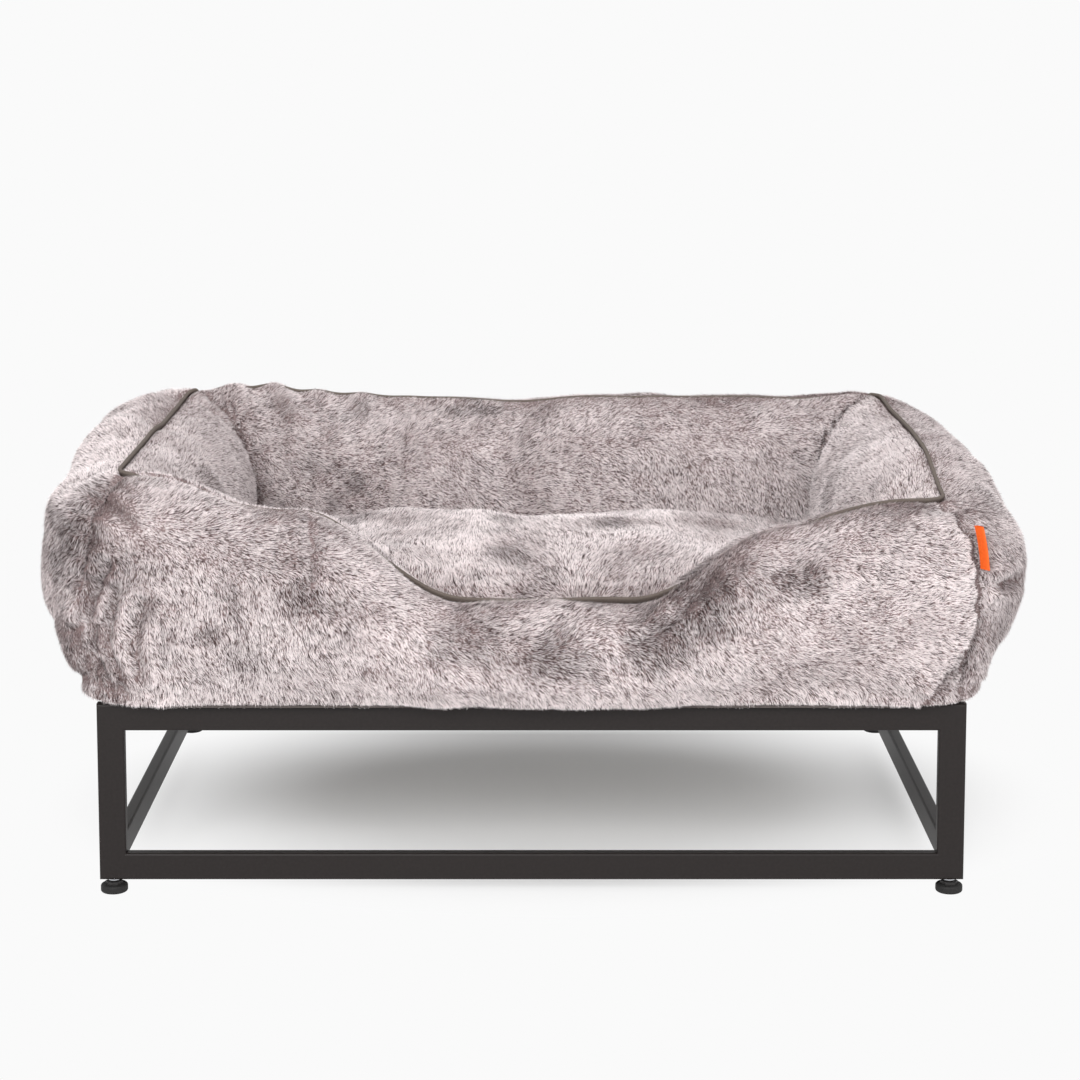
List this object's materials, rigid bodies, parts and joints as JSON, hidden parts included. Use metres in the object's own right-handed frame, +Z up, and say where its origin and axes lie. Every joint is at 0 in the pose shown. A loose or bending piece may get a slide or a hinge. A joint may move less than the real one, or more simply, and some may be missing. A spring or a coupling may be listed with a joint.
{
  "type": "raised dog bed",
  "caption": "Plush bolster dog bed with a dipped front entry and a loose floor cushion, on a low steel tube stand with levelling feet.",
  "frame": {"origin": "on the floor under the middle of the object", "axes": "+X to the right as seen from the front, -Y towards the front entry, +Z up"},
  "size_m": [1.134, 0.816, 0.4759],
  "materials": {
    "powder_coat": "satin",
    "zinc": "satin",
    "plywood": "matte",
    "pad_rubber": "matte",
    "stud_steel": "satin",
    "fur": "matte",
    "lining": "matte",
    "fibre_fill": "matte",
    "foam": "matte",
    "piping_tape": "matte",
    "tag_cloth": "matte"
  },
  "bodies": {
    "stand": {"front_top_rail": "powder_coat", "front_bottom_rail": "powder_coat", "front_left_leg": "powder_coat", "front_right_leg": "powder_coat", "rear_top_rail": "powder_coat", "rear_bottom_rail": "powder_coat", "rear_left_leg": "powder_coat", "rear_right_leg": "powder_coat", "left_top_side_rail": "powder_coat", "right_top_side_rail": "powder_coat", "left_bottom_side_rail": "powder_coat", "right_bottom_side_rail": "powder_coat", "corner_ears": "powder_coat", "corner_bolts": "zinc", "corner_nuts": "zinc", "deck_panel": "plywood", "deck_tabs": "powder_coat", "deck_screws": "zinc", "foot_inserts": "zinc"},
    "foot_front_left": {"front_left_pad": "pad_rubber"},
    "stud_front_left": {"front_left_stud": "stud_steel"},
    "foot_front_right": {"front_right_pad": "pad_rubber"},
    "stud_front_right": {"front_right_stud": "stud_steel"},
    "foot_rear_left": {"rear_left_pad": "pad_rubber"},
    "stud_rear_left": {"rear_left_stud": "stud_steel"},
    "foot_rear_right": {"rear_right_pad": "pad_rubber"},
    "stud_rear_right": {"rear_right_stud": "stud_steel"},
    "bed": {"base_cloth": "lining", "front_outer_panel": "fur", "right_outer_panel": "fur", "rear_outer_panel": "fur", "left_outer_panel": "fur", "front_inner_panel": "fur", "right_inner_panel": "fur", "rear_inner_panel": "fur", "left_inner_panel": "fur", "front_fill": "fibre_fill", "right_fill": "fibre_fill", "rear_fill": "fibre_fill", "left_fill": "fibre_fill", "ridge_piping": "piping_tape", "seam_tag": "tag_cloth"},
    "cushion": {"cushion_cover": "fur", "cushion_base": "lining", "cushion_foam": "foam"}
  },
  "joints": [
    {"name": "bed_lift", "type": "slide", "parent": "stand", "child": "bed", "axis": [0, 0, 1], "range_m": [0, 0.3]},
    {"name": "cushion_lift", "type": "slide", "parent": "bed", "child": "cushion", "axis": [0, 0, 1], "range_m": [0, 0.3]},
    {"name": "foot_front_left_height", "type": "slide", "parent": "stand", "child": "foot_front_left", "axis": [0, 0, -1], "range_m": [-0.0015, 0.012]},
    {"name": "foot_front_left_turn", "type": "hinge", "parent": "foot_front_left", "child": "stud_front_left", "pos_m": [-0.465, -0.3225, 0.009], "axis": [0, 0, -1], "range_deg": [-430, 3450]},
    {"name": "foot_front_right_height", "type": "slide", "parent": "stand", "child": "foot_front_right", "axis": [0, 0, -1], "range_m": [-0.0015, 0.012]},
    {"name": "foot_front_right_turn", "type": "hinge", "parent": "foot_front_right", "child": "stud_front_right", "pos_m": [0.465, -0.3225, 0.009], "axis": [0, 0, -1], "range_deg": [-430, 3450]},
    {"name": "foot_rear_left_height", "type": "slide", "parent": "stand", "child": "foot_rear_left", "axis": [0, 0, -1], "range_m": [-0.0015, 0.012]},
    {"name": "foot_rear_left_turn", "type": "hinge", "parent": "foot_rear_left", "child": "stud_rear_left", "pos_m": [-0.465, 0.3225, 0.009], "axis": [0, 0, -1], "range_deg": [-430, 3450]},
    {"name": "foot_rear_right_height", "type": "slide", "parent": "stand", "child": "foot_rear_right", "axis": [0, 0, -1], "range_m": [-0.0015, 0.012]},
    {"name": "foot_rear_right_turn", "type": "hinge", "parent": "foot_rear_right", "child": "stud_rear_right", "pos_m": [0.465, 0.3225, 0.009], "axis": [0, 0, -1], "range_deg": [-430, 3450]}
  ],
  "couplings": [
    {"joint": "foot_front_left_height", "follows": "foot_front_left_turn", "m_per_rad": 0.00019894},
    {"joint": "foot_front_right_height", "follows": "foot_front_right_turn", "m_per_rad": 0.00019894},
    {"joint": "foot_rear_left_height", "follows": "foot_rear_left_turn", "m_per_rad": 0.00019894},
    {"joint": "foot_rear_right_height", "follows": "foot_rear_right_turn", "m_per_rad": 0.00019894}
  ]
}
